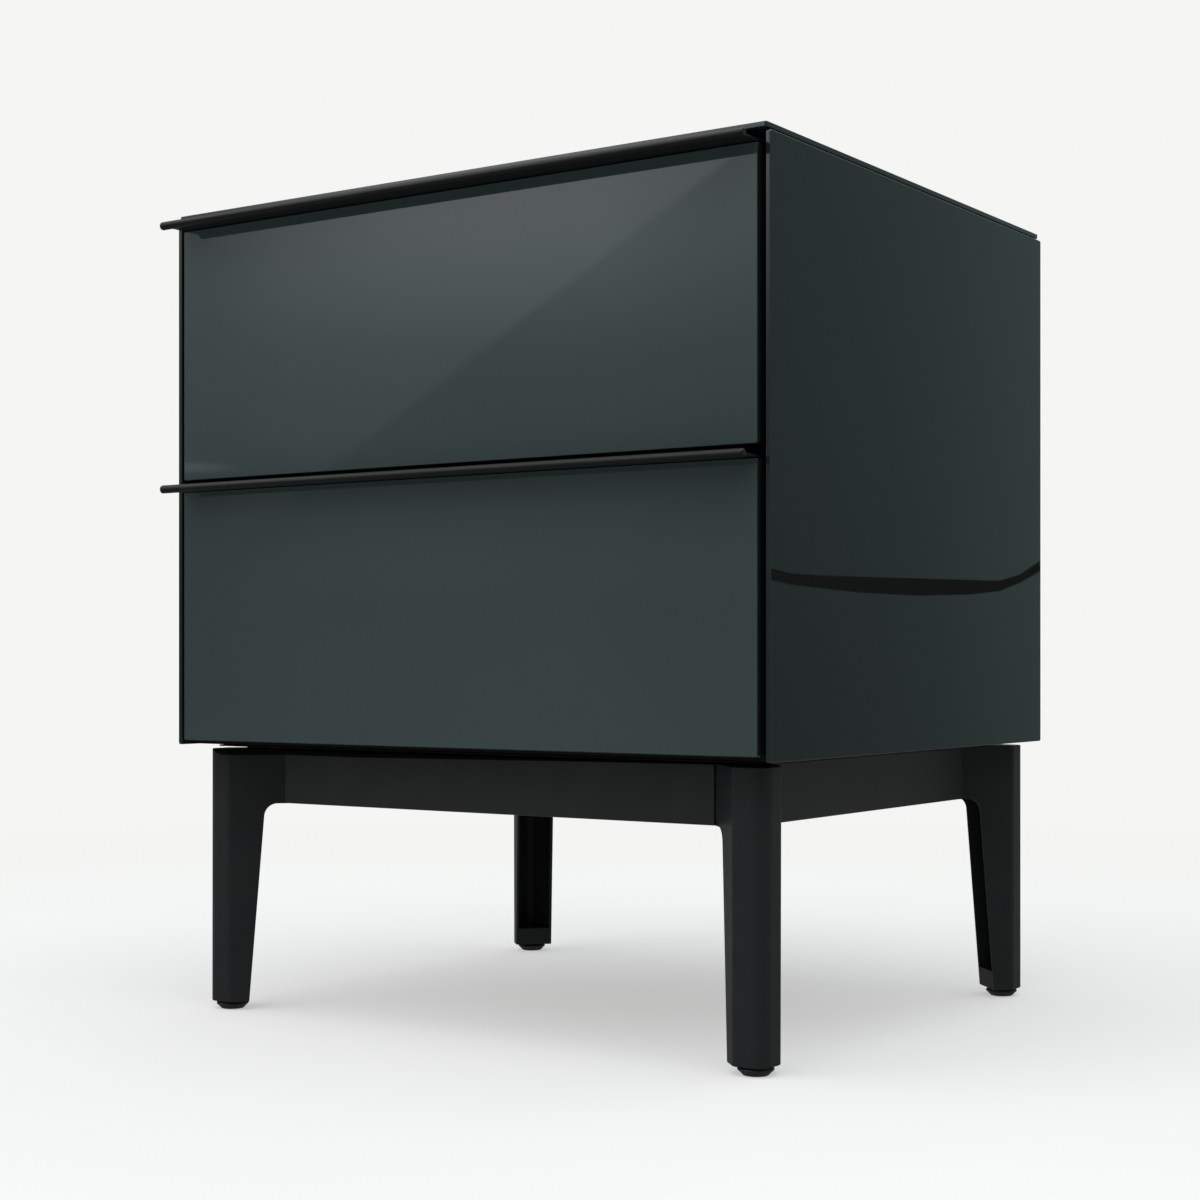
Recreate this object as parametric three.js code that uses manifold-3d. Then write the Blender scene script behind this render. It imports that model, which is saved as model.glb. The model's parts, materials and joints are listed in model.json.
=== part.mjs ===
// Nightstand: a black cabinet clad in dark painted glass, with two drawers,
// on a frame of four diagonal legs joined by set-back aprons.
// Millimetres, +Z up. The front faces -Y. The origin is on the floor, in the
// middle of the outline that the cabinet and its handles cover.
import * as THREE from 'three';
import { mergeVertices } from 'three/addons/utils/BufferGeometryUtils.js';
import Module from 'manifold-3d';

const wasm = await Module();
wasm.setup();

// ---- overall sizes ----
const WIDTH = 509.4;
const DEPTH = 426;
const TOP_Z = 593.7;
const CASE_Z = 198.7;
const HANDLE_REACH = 23;
const FRONT_Y = HANDLE_REACH - (DEPTH + HANDLE_REACH) / 2;
const BACK_Y = FRONT_Y + DEPTH;
const GAP = 0.3;

// ---- glass and boards ----
const GLASS = 3.5;
const GLASS_RADIUS = 1.5;
const SIDE_SETBACK = 2.2;
const TOP_SETBACK = 1.4;
const TOP_INSET = 2.4;
const SHADOW_GAP = 1.8;
const BOARD = 16;
const BOX_BOARD = 12;
const THIN_BOARD = 6;
const EDGE = 0.4;
const REBATE = 8;

// ---- drawer fronts ----
const FRONT_WIDTH = 493.4;
const UPPER_FRONT_HEIGHT = 185.9;
const LOWER_FRONT_HEIGHT = 184.8;
const FRONT_GLASS = 4;
const FRONT_BOARD = 13.7;
const LOWER_FRONT_Z = CASE_Z + 3.4;
const UPPER_FRONT_Z = CASE_Z + 196.9;

// ---- handles ----
const ROD_RADIUS = 3;
const ROD_LENGTH = 498.4;
const FLANGE = 1.5;
const LIP_DROP = 14;

// ---- drawer boxes and telescopic slides ----
const SLIDE_SPACE = 13;
const BOX_HEIGHT = 140;
const BOX_BACK = 405;
const BOX_LIFT = 23;
const SLIDE_LENGTH = 378;
const SHEET = 1.2;

// ---- leg frame ----
const LEG_INSET_X = 27.35;
const LEG_FRONT = 31.4;
const LEG_BACK = 413.3;
const LEG_FOOT_Z = 6;
const FRAME_Z = 195.4;
const LEG_TAPER = 0.08;
const LEG_TIP_D = 12;
const LEG_END_D = 48;
const LEG_WALL = 2;
const FILLET = 10;
const UNDERSIDE_Z = 154.4;
const APRON_SET = 15.5;
const APRON_FLANGE = 16;
const MITRE_GAP = 0.35;
const APRON_SHEET = 2;
const BOARD_THICKNESS = 4.3;
const FOOT_RADIUS = 11.85;

// ---- materials ----
function paint(color, roughness, metalness) {
  return new THREE.MeshStandardMaterial({ color, roughness, metalness });
}
const glassPaint = paint(0x353d3e, 0.06, 0);
const frontPaint = paint(0x353d3e, 0.05, 0);
const carcassFoil = paint(0x151617, 0.6, 0);
const boxFoil = paint(0x2b2d2e, 0.55, 0);
const legPaint = paint(0x232627, 0.4, 0.2);
const handlePaint = paint(0x1c1d1d, 0.35, 0.6);
const blackSteel = paint(0x18191a, 0.5, 0.4);
const zincSteel = paint(0xa9acae, 0.35, 0.9);
const footPlastic = paint(0x1a1b1b, 0.5, 0);
const rubber = paint(0x101010, 0.9, 0);

const furniture = new THREE.Group();

function addPiece(parent, name, geometry, material, x = 0, y = 0, z = 0, turn = 0) {
  const mesh = new THREE.Mesh(geometry, material);
  mesh.name = name;
  mesh.position.set(x, y, z);
  mesh.rotation.z = turn;
  parent.add(mesh);
  return mesh;
}

// ---- solid helpers ----
function toSolid(geometry) {
  const bare = geometry.clone();
  bare.deleteAttribute('normal');
  bare.deleteAttribute('uv');
  const merged = mergeVertices(bare, 1e-4);
  const mesh = new wasm.Mesh({
    numProp: 3,
    vertProperties: new Float32Array(merged.attributes.position.array),
    triVerts: new Uint32Array(merged.index.array),
  });
  return new wasm.Manifold(mesh);
}

function toGeometry(manifold) {
  const mesh = manifold.getMesh();
  const geometry = new THREE.BufferGeometry();
  geometry.setAttribute('position', new THREE.BufferAttribute(mesh.vertProperties, 3));
  geometry.setIndex(new THREE.BufferAttribute(mesh.triVerts, 1));
  geometry.computeVertexNormals();
  return geometry;
}

function cut(geometry, ...tools) {
  let body = toSolid(geometry);
  for (const tool of tools) body = body.subtract(toSolid(tool));
  return toGeometry(body);
}

function join(geometry, ...others) {
  let body = toSolid(geometry);
  for (const other of others) body = body.add(toSolid(other));
  return toGeometry(body);
}

// Skins a counter-clockwise outline through rings of equal length.
function loft(outline, rings) {
  const count = outline.length;
  const positions = rings.flat().flatMap((p) => [p.x, p.y, p.z]);
  const index = [];
  for (let k = 0; k + 1 < rings.length; k++) {
    for (let i = 0; i < count; i++) {
      const a = k * count + i;
      const b = k * count + ((i + 1) % count);
      index.push(a, b, b + count, a, b + count, a + count);
    }
  }
  const last = (rings.length - 1) * count;
  for (const [a, b, c] of THREE.ShapeUtils.triangulateShape(outline, [])) {
    index.push(a, c, b);
    index.push(last + a, last + b, last + c);
  }
  const geometry = new THREE.BufferGeometry();
  geometry.setAttribute('position', new THREE.Float32BufferAttribute(positions, 3));
  geometry.setIndex(index);
  geometry.computeVertexNormals();
  return geometry;
}

function ringAt(outline, z) {
  return outline.map((p) => new THREE.Vector3(p.x, p.y, z));
}

function prism(outline, z0, z1) {
  return loft(outline, [ringAt(outline, z0), ringAt(outline, z1)]);
}

function block(x0, x1, y0, y1, z0, z1) {
  const box = new THREE.BoxGeometry(x1 - x0, y1 - y0, z1 - z0);
  box.translate((x0 + x1) / 2, (y0 + y1) / 2, (z0 + z1) / 2);
  return box;
}

function rod(radius, z0, z1, segments = 24) {
  const cylinder = new THREE.CylinderGeometry(radius, radius, z1 - z0, segments);
  cylinder.rotateX(Math.PI / 2);
  cylinder.translate(0, 0, (z0 + z1) / 2);
  return cylinder;
}

// A flat plate with rounded corners and small bevels, lying in XY and centred.
function plate(width, height, thickness, radius, bevel) {
  const shape = new THREE.Shape();
  const x = width / 2;
  const y = height / 2;
  shape.moveTo(-x + radius, -y);
  shape.lineTo(x - radius, -y);
  shape.quadraticCurveTo(x, -y, x, -y + radius);
  shape.lineTo(x, y - radius);
  shape.quadraticCurveTo(x, y, x - radius, y);
  shape.lineTo(-x + radius, y);
  shape.quadraticCurveTo(-x, y, -x, y - radius);
  shape.lineTo(-x, -y + radius);
  shape.quadraticCurveTo(-x, -y, -x + radius, -y);
  const geometry = new THREE.ExtrudeGeometry(shape, {
    depth: thickness - 2 * bevel,
    bevelEnabled: true,
    bevelThickness: bevel,
    bevelSize: bevel,
    bevelOffset: -bevel,
    bevelSegments: 1,
    curveSegments: 3,
  });
  geometry.translate(0, 0, bevel - thickness / 2);
  return geometry;
}

// A board with softened edges between two opposite corners.
function board(x0, x1, y0, y1, z0, z1, bevel = EDGE, radius = 1) {
  const size = [x1 - x0, y1 - y0, z1 - z0];
  const thin = size.indexOf(Math.min(...size));
  let geometry;
  if (thin === 0) {
    geometry = plate(size[1], size[2], size[0], radius, bevel);
    geometry.rotateX(Math.PI / 2);
    geometry.rotateZ(Math.PI / 2);
  } else if (thin === 1) {
    geometry = plate(size[0], size[2], size[1], radius, bevel);
    geometry.rotateX(Math.PI / 2);
  } else {
    geometry = plate(size[0], size[1], size[2], radius, bevel);
  }
  geometry.translate((x0 + x1) / 2, (y0 + y1) / 2, (z0 + z1) / 2);
  return geometry;
}

// ---- cabinet ----
const half = WIDTH / 2;
const glassInner = half - GLASS;
const sideOuter = glassInner - GAP;
const sideInner = sideOuter - BOARD;
const topGlassZ = TOP_Z - GLASS;
const carcassTop = topGlassZ - GAP;
const carcassFront = FRONT_Y + 20.5;
const carcassBack = BACK_Y - 2;
const backBoardY = carcassBack - THIN_BOARD;
const cabinet = new THREE.Group();
furniture.add(cabinet);

const topHalf = half - TOP_INSET;
const topGlass = board(-topHalf, topHalf, FRONT_Y + TOP_SETBACK, BACK_Y, topGlassZ, TOP_Z, 0.5, GLASS_RADIUS);
addPiece(cabinet, 'top_glass', topGlass, glassPaint);

const bolts = [];
for (const sx of [-1, 1]) {
  for (const y of [LEG_FRONT, LEG_BACK]) {
    const sy = y === LEG_FRONT ? 1 : -1;
    bolts.push([sx * (half - LEG_INSET_X - 14), FRONT_Y + y + sy * 14]);
  }
}

function span(side, a, b) {
  return side < 0 ? [-b, -a] : [a, b];
}

for (const [side, label] of [[-1, 'left'], [1, 'right']]) {
  const [g0, g1] = span(side, glassInner, half);
  const glassTop = topGlassZ - SHADOW_GAP;
  const glass = board(g0, g1, FRONT_Y + SIDE_SETBACK, BACK_Y, CASE_Z, glassTop, 0.6, GLASS_RADIUS);
  addPiece(cabinet, `side_glass_${label}`, glass, glassPaint);

  const [b0, b1] = span(side, sideInner, sideOuter);
  const [r0, r1] = span(side, sideInner - 1, sideInner + REBATE);
  const rebate = block(r0, r1, backBoardY - GAP, carcassBack + 1, CASE_Z - 1, carcassTop + 1);
  const sideBoard = cut(board(b0, b1, carcassFront, carcassBack, CASE_Z, carcassTop), rebate);
  addPiece(cabinet, `carcass_side_${label}`, sideBoard, carcassFoil);
}

const between = sideInner - GAP;
const shelfBack = backBoardY - GAP;
const roof = board(-between, between, carcassFront, shelfBack, carcassTop - BOARD, carcassTop);
addPiece(cabinet, 'carcass_top_panel', roof, carcassFoil);

const boltHoles = bolts.map(([x, y]) => rod(3.3, CASE_Z - 12, CASE_Z + 11, 16).translate(x, y, 0));
const floorBoard = board(-between, between, carcassFront, shelfBack, CASE_Z, CASE_Z + BOARD);
addPiece(cabinet, 'carcass_bottom_panel', cut(floorBoard, ...boltHoles), carcassFoil);

const backEdge = sideInner + REBATE - GAP;
const backBoard = board(-backEdge, backEdge, backBoardY, carcassBack, CASE_Z + 0.5, carcassTop - 0.5);
addPiece(cabinet, 'carcass_back_panel', backBoard, carcassFoil);

const railTop = UPPER_FRONT_Z + 1;
const rail = board(-between, between, carcassFront + 1.5, carcassFront + 62, railTop - BOARD, railTop);
addPiece(cabinet, 'middle_rail', rail, carcassFoil);

const basePlate = board(-half + 23.2, half - 23.2, FRONT_Y + 20, FRONT_Y + 424, 197.4, 198.4, 0.2, 3);
addPiece(cabinet, 'base_plate', cut(basePlate, ...boltHoles), blackSteel);

// ---- leg frame ----
// A leg's outline in its own plan: u and v run inward along the two aprons.
// The nose is rounded, two flats lead to diagonal flanks at half width m, and
// d is how far the inner end lies along the diagonal.
function arc(cu, cv, radius, from, to, steps) {
  const points = [];
  for (let i = 0; i <= steps; i++) {
    const angle = THREE.MathUtils.degToRad(from + ((to - from) * i) / steps);
    points.push(new THREE.Vector2(cu + radius * Math.cos(angle), cv + radius * Math.sin(angle)));
  }
  return points;
}

function legOutline(flat, m, nose, shoulder, d) {
  const cv = shoulder - flat;
  const cu = cv + Math.SQRT2 * (m - shoulder);
  return [
    ...arc(nose - flat, nose - flat, nose, 180, 270, 6),
    ...arc(cu, cv, shoulder, 270, 315, 3),
    new THREE.Vector2((d + m) / Math.SQRT2, (d - m) / Math.SQRT2),
    new THREE.Vector2((d - m) / Math.SQRT2, (d + m) / Math.SQRT2),
    ...arc(cv, cu, shoulder, 135, 180, 3),
  ];
}

const LEG_LOW = { flat: 13.3, m: 15.9, nose: 9, shoulder: 6 };
const LEG_HIGH = { flat: 13.9, m: 16.2, nose: 11.5, shoulder: 6 };

function legRing(z, inset, endD) {
  const t = (z - LEG_FOOT_Z) / (FRAME_Z - LEG_FOOT_Z);
  const mix = (key) => THREE.MathUtils.lerp(LEG_LOW[key], LEG_HIGH[key], t);
  const outline = legOutline(
    mix('flat') - inset,
    mix('m') - inset,
    mix('nose') - inset,
    mix('shoulder') - inset,
    endD - inset,
  );
  return ringAt(outline, z);
}

function legLoft(levels, endD) {
  const rings = levels.map(([z, inset]) => legRing(z, inset, endD));
  const outline = rings[0].map((p) => new THREE.Vector2(p.x, p.y));
  return loft(outline, rings);
}

// The space inside the leg: everything behind a sloping line that fillets
// into the level underside of the ears.
function innerCut() {
  const slope = Math.hypot(1, LEG_TAPER);
  const lineD = (z) => LEG_TIP_D + LEG_TAPER * (z - LEG_FOOT_Z);
  const centreZ = UNDERSIDE_Z - FILLET;
  const centreD = lineD(centreZ) + FILLET * slope;
  const lean = THREE.MathUtils.radToDeg(Math.atan(LEG_TAPER));
  const far = LEG_END_D + 30;
  const outline = [
    new THREE.Vector2(lineD(-5), -5),
    new THREE.Vector2(far, -5),
    new THREE.Vector2(far, UNDERSIDE_Z),
    ...arc(centreD, centreZ, FILLET, 90, 180 - lean, 6),
  ];
  const tool = prism(outline, -40, 40);
  tool.rotateX(Math.PI / 2);
  tool.rotateZ(Math.PI / 4);
  return tool;
}

const HOLLOW_Z = 20.5;
const LEG_TOP_PLATE = 2.8;
const legBody = legLoft([[LEG_FOOT_Z, 0.8], [LEG_FOOT_Z + 0.8, 0], [FRAME_Z - 0.4, 0], [FRAME_Z, 0.4]], LEG_END_D);
const legHollow = legLoft([[HOLLOW_Z, LEG_WALL], [FRAME_Z - LEG_TOP_PLATE, LEG_WALL]], LEG_END_D);
const stemHole = rod(4.5, 0, HOLLOW_Z + 5, 20);
const legBoltHole = rod(3.3, FRAME_Z - 8, FRAME_Z + 8, 16).translate(14, 14, 0);
const leg = cut(legBody, innerCut(), legHollow, stemHole, legBoltHole);

const corners = [
  ['front_left', -1, LEG_FRONT, 0],
  ['front_right', 1, LEG_FRONT, 1],
  ['back_right', 1, LEG_BACK, 2],
  ['back_left', -1, LEG_BACK, 3],
];

const footProfile = [
  [0, 0],
  [8, 0],
  [8.6, 0.3],
  [FOOT_RADIUS - 0.4, 3.0],
  [FOOT_RADIUS, 3.6],
  [FOOT_RADIUS, 4.4],
  [FOOT_RADIUS - 0.7, 5.1],
  [4.05, 5.1],
  [4.05, 18],
  [3.4, 18.8],
  [0, 18.8],
].map(([r, z]) => new THREE.Vector2(r, z));

const washerProfile = [
  [3.4, 0],
  [9, 0],
  [9, 1.2],
  [3.4, 1.2],
  [3.4, 0],
].map(([r, z]) => new THREE.Vector2(r, z));

function turned(profile, segments) {
  return new THREE.LatheGeometry(profile, segments).rotateX(Math.PI / 2);
}

const frame = new THREE.Group();
furniture.add(frame);
for (const [label, sx, y, quarter] of corners) {
  const x = sx * (half - LEG_INSET_X);
  const post = new THREE.Group();
  post.position.set(x, FRONT_Y + y, 0);
  post.rotation.z = (quarter * Math.PI) / 2;
  frame.add(post);
  addPiece(post, `leg_${label}`, leg, legPaint);
  addPiece(post, `levelling_foot_${label}`, turned(footProfile, 28), footPlastic);
  addPiece(post, `spacer_${label}`, turned(washerProfile, 24), rubber, 14, 14, FRAME_Z + GAP);
  const head = new THREE.CylinderGeometry(5.5, 5.5, 4, 6).rotateX(Math.PI / 2);
  head.translate(0, 0, FRAME_Z - LEG_TOP_PLATE - GAP - 2);
  const bolt = join(head, rod(3, FRAME_Z - LEG_TOP_PLATE - 2, CASE_Z + 9, 16));
  addPiece(post, `frame_bolt_${label}`, bolt, zincSteel, 14, 14);
}

const apronX = half - LEG_INSET_X - APRON_SET;
const apronFront = FRONT_Y + LEG_FRONT + APRON_SET;
const apronBack = FRONT_Y + LEG_BACK - APRON_SET;

// The stiffening board lies in the aprons' channels, under their upper flanges,
// its corners cut back from the legs' ends.
const boardX = apronX - APRON_SHEET - GAP;
const boardFront = apronFront + APRON_SHEET + GAP;
const boardBack = apronBack - APRON_SHEET - GAP;
const boardCorner = Math.SQRT2 * (LEG_END_D + 0.7) - 2 * (APRON_SET + APRON_SHEET + GAP);
const boardOutline = [
  [boardX - boardCorner, boardFront],
  [boardX, boardFront + boardCorner],
  [boardX, boardBack - boardCorner],
  [boardX - boardCorner, boardBack],
  [boardCorner - boardX, boardBack],
  [-boardX, boardBack - boardCorner],
  [-boardX, boardFront + boardCorner],
  [boardCorner - boardX, boardFront],
].map(([x, y]) => new THREE.Vector2(x, y));
const boardTop = FRAME_Z - APRON_SHEET - GAP;
const stiffener = prism(boardOutline, boardTop - BOARD_THICKNESS, boardTop);
addPiece(frame, 'mounting_board', stiffener, carcassFoil);

// A C-section apron along X, open towards the inside, its ends mitred to meet
// the legs' flanks. outerHalf is half its length along the outer face.
function apron(outerHalf) {
  const z0 = UNDERSIDE_Z;
  const z1 = FRAME_Z;
  const sheet = APRON_SHEET;
  const profile = [
    [0, z0],
    [APRON_FLANGE, z0],
    [APRON_FLANGE, z0 + sheet],
    [sheet, z0 + sheet],
    [sheet, z1 - sheet],
    [APRON_FLANGE, z1 - sheet],
    [APRON_FLANGE, z1],
    [0, z1],
  ].map(([y, z]) => new THREE.Vector2(y, z));
  const ring = (side) => profile.map((p) => new THREE.Vector3(side * (outerHalf - p.x), p.x, p.y));
  return loft(profile, [ring(-1), ring(1)]);
}

const flankAt = APRON_SET + Math.SQRT2 * (LEG_HIGH.m + MITRE_GAP);
const apronHalfX = half - LEG_INSET_X - flankAt;
const apronHalfY = (LEG_BACK - LEG_FRONT) / 2 - flankAt;
const frameMidY = FRONT_Y + (LEG_FRONT + LEG_BACK) / 2;
addPiece(frame, 'apron_front', apron(apronHalfX), legPaint, 0, apronFront, 0, 0);
addPiece(frame, 'apron_right', apron(apronHalfY), legPaint, apronX, frameMidY, 0, Math.PI / 2);
addPiece(frame, 'apron_back', apron(apronHalfX), legPaint, 0, apronBack, 0, Math.PI);
addPiece(frame, 'apron_left', apron(apronHalfY), legPaint, -apronX, frameMidY, 0, -Math.PI / 2);

// ---- handle: a flat flange over the front's top edge, a round bar ahead of
// it and a lip down the back of the board ----
function handle(frontTop) {
  const z0 = frontTop + GAP;
  const z1 = z0 + FLANGE;
  const middle = (z0 + z1) / 2;
  const barY = FRONT_Y - HANDLE_REACH + ROD_RADIUS;
  const lipY = FRONT_Y + FRONT_GLASS + GAP + FRONT_BOARD + GAP;
  const flangeHalf = FRONT_WIDTH / 2;
  const flange = block(-flangeHalf, flangeHalf, barY, lipY + FLANGE, z0, z1);
  const lip = block(-flangeHalf + 8, flangeHalf - 8, lipY, lipY + FLANGE, z0 - LIP_DROP, z0 + 0.1);
  const end = 1.2;
  const bar = [
    [0, -ROD_LENGTH / 2],
    [ROD_RADIUS - end, -ROD_LENGTH / 2],
    [ROD_RADIUS - end * 0.3, -ROD_LENGTH / 2 + end * 0.3],
    [ROD_RADIUS, -ROD_LENGTH / 2 + end],
    [ROD_RADIUS, ROD_LENGTH / 2 - end],
    [ROD_RADIUS - end * 0.3, ROD_LENGTH / 2 - end * 0.3],
    [ROD_RADIUS - end, ROD_LENGTH / 2],
    [0, ROD_LENGTH / 2],
  ].map(([r, z]) => new THREE.Vector2(r, z));
  const round = new THREE.LatheGeometry(bar, 20).rotateZ(Math.PI / 2);
  round.translate(0, barY, middle);
  return join(flange, lip, round);
}

// ---- telescopic slides ----
// Each member is a C of folded sheet: s runs from the carcass side inward,
// t is height about the slide's middle.
function channel(sWeb, sRim, halfHeight, side, y0, middleZ) {
  const inward = Math.sign(sRim - sWeb);
  const profile = [
    [sWeb, -halfHeight],
    [sRim, -halfHeight],
    [sRim, -halfHeight + SHEET],
    [sWeb + inward * SHEET, -halfHeight + SHEET],
    [sWeb + inward * SHEET, halfHeight - SHEET],
    [sRim, halfHeight - SHEET],
    [sRim, halfHeight],
    [sWeb, halfHeight],
  ];
  let outline = profile.map(([s, t]) => new THREE.Vector2(side * (sideInner - s), middleZ + t));
  if (THREE.ShapeUtils.isClockWise(outline)) outline = outline.reverse();
  const ring = (y) => outline.map((p) => new THREE.Vector3(p.x, y, p.y));
  return loft(outline, [ring(y0 + SLIDE_LENGTH), ring(y0)]);
}

// ---- drawers ----
const boxOuter = sideInner - SLIDE_SPACE;
const boxInner = boxOuter - BOX_BOARD;
const boxFront = FRONT_Y + FRONT_GLASS + FRONT_BOARD + 2 * GAP;
const boxBack = FRONT_Y + BOX_BACK;
const slideY = FRONT_Y + 22.5;

function addDrawer(label, frontZ, frontHeight) {
  const drawer = new THREE.Group();
  furniture.add(drawer);
  const frontTop = frontZ + frontHeight;
  const fx = FRONT_WIDTH / 2;
  const glassBack = FRONT_Y + FRONT_GLASS;
  const glass = board(-fx, fx, FRONT_Y, glassBack, frontZ, frontTop, 0.5, GLASS_RADIUS);
  addPiece(drawer, `${label}_front_glass`, glass, frontPaint);

  const z0 = frontZ + BOX_LIFT;
  const z1 = z0 + BOX_HEIGHT;
  const bottomZ = z0 + 10;
  const grooveDepth = 5;
  const groove = block(
    -boxInner - grooveDepth,
    boxInner + grooveDepth,
    boxFront - GAP - grooveDepth,
    boxBack + 1,
    bottomZ - GAP,
    bottomZ + THIN_BOARD + GAP,
  );
  const y0 = glassBack + GAP;
  const face = board(-fx + 0.3, fx - 0.3, y0, y0 + FRONT_BOARD, frontZ + 0.3, frontTop - 0.3);
  addPiece(drawer, `${label}_front_board`, cut(face, groove), carcassFoil);
  addPiece(drawer, `${label}_handle`, handle(frontTop), handlePaint);

  for (const [side, name] of [[-1, 'left'], [1, 'right']]) {
    const [a, b] = span(side, boxInner, boxOuter);
    const wall = cut(board(a, b, boxFront, boxBack, z0, z1), groove);
    addPiece(drawer, `${label}_box_${name}`, wall, boxFoil);
  }
  const inner = boxInner - GAP;
  const wallBack = boxBack - 2;
  const rear = board(-inner, inner, wallBack - BOX_BOARD, wallBack, bottomZ + THIN_BOARD + GAP, z1 - 8);
  addPiece(drawer, `${label}_box_back`, rear, boxFoil);
  const reach = boxInner + grooveDepth - GAP;
  const panelFront = boxFront - grooveDepth;
  const panel = board(-reach, reach, panelFront, wallBack, bottomZ, bottomZ + THIN_BOARD);
  addPiece(drawer, `${label}_box_bottom`, panel, boxFoil);

  const slideZ = z0 + BOX_HEIGHT / 2;
  for (const [side, name] of [[-1, 'left'], [1, 'right']]) {
    const slide = `${label}_slide_${name}`;
    addPiece(cabinet, `${slide}_cabinet`, channel(0.3, 10.2, 17.5, side, slideY, slideZ), zincSteel);
    addPiece(drawer, `${slide}_middle`, channel(2.4, 11, 15.4, side, slideY, slideZ), zincSteel);
    addPiece(drawer, `${slide}_drawer`, channel(12.7, 4.6, 13.3, side, slideY, slideZ), zincSteel);
  }
}

addDrawer('upper', UPPER_FRONT_Z, UPPER_FRONT_HEIGHT);
addDrawer('lower', LOWER_FRONT_Z, LOWER_FRONT_HEIGHT);

export default furniture;
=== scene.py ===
"""Looks for a nightstand clad in dark painted glass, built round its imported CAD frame.

Metres, +Z up, the drawer fronts face -Y. Places and sizes come from the CAD nodes' boxes.
"""

import json
import math

import bpy
from mathutils import Matrix, Vector


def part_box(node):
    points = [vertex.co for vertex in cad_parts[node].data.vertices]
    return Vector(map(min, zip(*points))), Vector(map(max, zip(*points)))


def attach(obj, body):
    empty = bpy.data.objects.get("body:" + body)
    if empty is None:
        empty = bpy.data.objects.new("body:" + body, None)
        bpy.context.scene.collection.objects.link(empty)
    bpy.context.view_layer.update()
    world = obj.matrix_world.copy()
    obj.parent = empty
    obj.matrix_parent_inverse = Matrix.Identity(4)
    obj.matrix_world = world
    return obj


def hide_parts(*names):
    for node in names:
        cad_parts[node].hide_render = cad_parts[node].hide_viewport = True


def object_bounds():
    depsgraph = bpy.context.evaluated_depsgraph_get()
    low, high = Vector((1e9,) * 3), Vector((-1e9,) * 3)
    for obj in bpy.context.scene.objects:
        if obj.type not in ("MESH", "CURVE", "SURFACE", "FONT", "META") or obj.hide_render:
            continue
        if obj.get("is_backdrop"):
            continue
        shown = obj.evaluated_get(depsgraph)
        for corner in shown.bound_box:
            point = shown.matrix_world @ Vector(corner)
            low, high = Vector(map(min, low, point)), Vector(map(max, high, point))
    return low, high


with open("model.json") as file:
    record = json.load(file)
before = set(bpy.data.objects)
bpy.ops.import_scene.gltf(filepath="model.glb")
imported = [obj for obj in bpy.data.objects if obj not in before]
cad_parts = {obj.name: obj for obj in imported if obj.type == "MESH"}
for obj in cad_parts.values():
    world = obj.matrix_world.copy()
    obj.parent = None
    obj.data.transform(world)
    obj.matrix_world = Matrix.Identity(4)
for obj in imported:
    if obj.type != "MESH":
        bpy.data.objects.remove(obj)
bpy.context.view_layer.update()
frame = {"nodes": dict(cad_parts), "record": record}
NODES = frame["nodes"]
MM = 0.001
CORNERS = ("front_left", "front_right", "back_right", "back_left")
DRAWERS = ("upper", "lower")
SIDES = ("left", "right")


# ---- material nodes ----
def fill_ramp(ramp_node, stops):
    """Grey stops, (place, level) pairs, in a colour ramp that starts with two elements."""
    elements = ramp_node.color_ramp.elements
    elements.remove(elements[1])
    elements[0].position = stops[0][0]
    for place, _ in stops[1:]:
        elements.new(place)
    for element, (_, level) in zip(elements, stops):
        element.color = (level, level, level, 1)


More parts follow.
